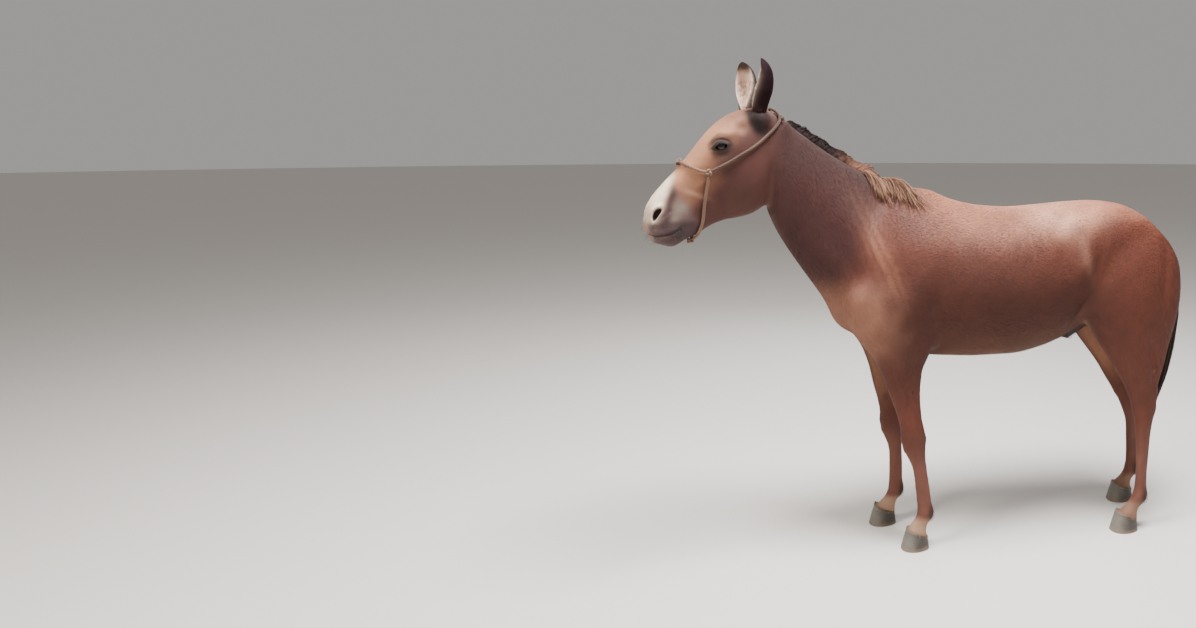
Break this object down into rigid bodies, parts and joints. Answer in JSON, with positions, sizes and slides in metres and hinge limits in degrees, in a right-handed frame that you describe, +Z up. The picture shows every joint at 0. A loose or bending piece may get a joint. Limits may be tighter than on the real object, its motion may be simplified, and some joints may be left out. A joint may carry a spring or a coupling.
{
  "type": "mule",
  "caption": "A life-size still model of a standing chestnut mule with a knotted rope halter, its head turned a little to its left",
  "frame": {"origin": "on the floor under the middle of the animal's box, in its middle plane", "axes": "+X to the animal's left, +Y to its tail, +Z up; it looks along -Y with its head turned about 15 degrees to +X"},
  "size_m": [0.5285, 2.1372, 1.8699],
  "materials": {
    "coat": "short reddish-brown fur, lying flat",
    "ear": "short dark fur, tan inside the cup",
    "tail_hair": "long black-brown hair",
    "eye": "wet and dark",
    "horn": "grey horn, dull",
    "rope": "twisted tan rope"
  },
  "bodies": {
    "root": {"head": "coat", "neck": "coat", "torso": "coat", "foreleg_left_upper": "coat", "foreleg_left_lower": "coat", "foreleg_right_upper": "coat", "foreleg_right_lower": "coat", "hindleg_left_upper": "coat", "hindleg_left_lower": "coat", "hindleg_right_upper": "coat", "hindleg_right_lower": "coat", "ear_left": "ear", "ear_right": "ear", "tail": "tail_hair", "eye_left": "eye", "eye_right": "eye", "hoof_fore_left": "horn", "hoof_fore_right": "horn", "hoof_hind_left": "horn", "hoof_hind_right": "horn", "halter_noseband": "rope", "halter_jaw_rope": "rope", "halter_crown_rope": "rope"}
  },
  "joints": []
}
